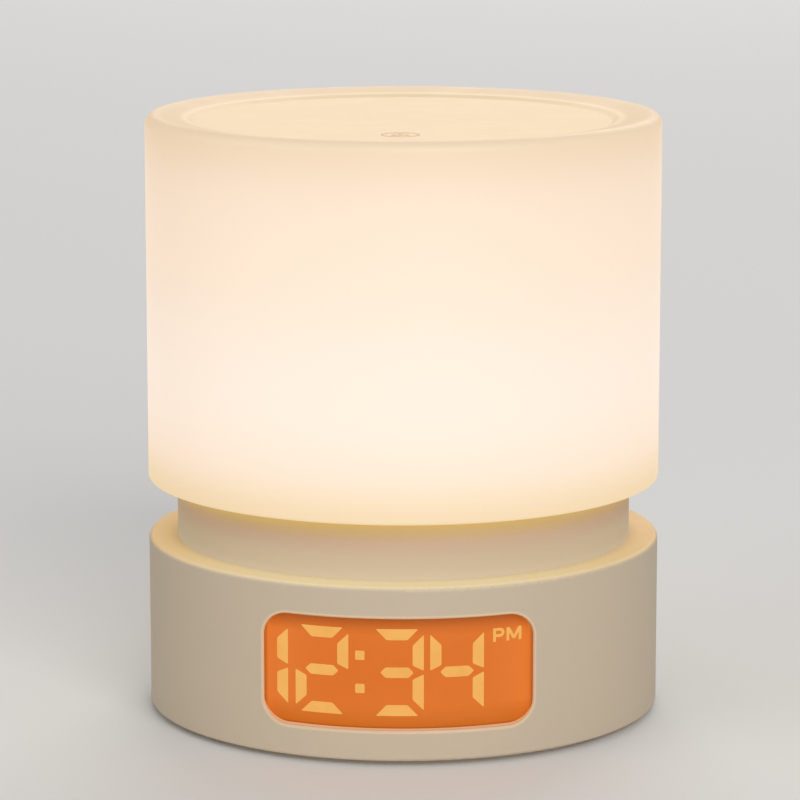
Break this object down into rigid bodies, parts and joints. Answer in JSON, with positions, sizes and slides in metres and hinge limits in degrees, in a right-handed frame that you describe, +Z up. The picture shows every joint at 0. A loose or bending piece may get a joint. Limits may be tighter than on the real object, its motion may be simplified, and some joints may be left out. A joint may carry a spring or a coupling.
{
  "type": "sunrise alarm clock",
  "caption": "Sunrise alarm clock: a drum-shaped light shade on a narrower neck over a round base, with a curved digital display in front, rear buttons and a hinged battery door below.",
  "frame": {"origin": "centre of the circle of the feet, on the plane they rest on", "axes": "+Z up along the body's axis, display towards -Y, rear controls towards +Y"},
  "size_m": [0.11, 0.11, 0.1287],
  "materials": {
    "shade": "opal translucent, satin",
    "body_plastic": "fine matt texture",
    "cover_plastic": "matt",
    "lens": "tinted, satin face",
    "white_plastic": "matt white",
    "led": "small light packages",
    "board": "coated circuit board",
    "lamp_board": "white coated metal-core board",
    "steel": "plated",
    "foil": "metal foil",
    "black_plastic": "matt black",
    "can": "sleeved cans",
    "wire": "insulated wire",
    "flat_wire": "flat cable",
    "cone": "pressed paper",
    "rubber": "matt",
    "cell": "wrapped steel can",
    "nickel": "nickel plated",
    "plunger": "matt",
    "knob": "matt"
  },
  "bodies": {
    "base": {"shade": "shade", "touch_electrode": "foil", "touch_lead": "foil", "reflector": "white_plastic", "lamp_leds": "led", "led_board": "lamp_board", "led_board_screws": "steel", "lamp_floor": "white_plastic", "lamp_floor_screws": "steel", "lamp_cable": "wire", "cable_plugs": "white_plastic", "neck_collar": "body_plastic", "collar_screws": "steel", "base_shell": "body_plastic", "display_lens": "lens", "light_wells": "white_plastic", "display_board": "board", "display_leds": "led", "display_screws": "steel", "main_board": "board", "main_board_screws": "steel", "board_chips": "black_plastic", "capacitors": "can", "cable_sockets": "white_plastic", "flat_cables": "flat_wire", "speaker_frame": "black_plastic", "speaker_cone": "cone", "speaker_magnet": "steel", "inner_leads": "black_plastic", "bottom_cover": "cover_plastic", "cover_screws": "steel", "rubber_feet": "rubber", "battery_cells": "cell", "battery_springs": "nickel", "battery_plates": "nickel", "control_board": "board", "control_board_screws": "steel", "switch_bodies": "black_plastic", "alarm_switch_body": "black_plastic", "socket_shell": "steel", "socket_tongue": "black_plastic"},
    "clock_button": {"clock_button": "cover_plastic", "clock_plunger": "plunger"},
    "alarm_button": {"alarm_button": "cover_plastic", "alarm_plunger": "plunger"},
    "minus_button": {"minus_button": "cover_plastic", "minus_plunger": "plunger"},
    "plus_button": {"plus_button": "cover_plastic", "plus_plunger": "plunger"},
    "alarm_switch": {"alarm_switch_knob": "knob"},
    "battery_door": {"battery_door": "cover_plastic"}
  },
  "joints": [
    {"name": "clock_button_press", "type": "slide", "parent": "base", "child": "clock_button", "axis": [0, -1, 0], "range_m": [0, 0.0008], "stiffness_N_per_m": 700, "springref_m": -0.001},
    {"name": "alarm_button_press", "type": "slide", "parent": "base", "child": "alarm_button", "axis": [0, -1, 0], "range_m": [0, 0.0008], "stiffness_N_per_m": 700, "springref_m": -0.001},
    {"name": "minus_button_press", "type": "slide", "parent": "base", "child": "minus_button", "axis": [0, -1, 0], "range_m": [0, 0.0008], "stiffness_N_per_m": 700, "springref_m": -0.001},
    {"name": "plus_button_press", "type": "slide", "parent": "base", "child": "plus_button", "axis": [0, -1, 0], "range_m": [0, 0.0008], "stiffness_N_per_m": 700, "springref_m": -0.001},
    {"name": "alarm_switch_slide", "type": "slide", "parent": "base", "child": "alarm_switch", "axis": [1, 0, 0], "range_m": [0, 0.003]},
    {"name": "battery_door_swing", "type": "hinge", "parent": "base", "child": "battery_door", "pos_m": [0, -0.0021, 0.0014], "axis": [-1, 0, 0], "range_deg": [0, 95]}
  ]
}
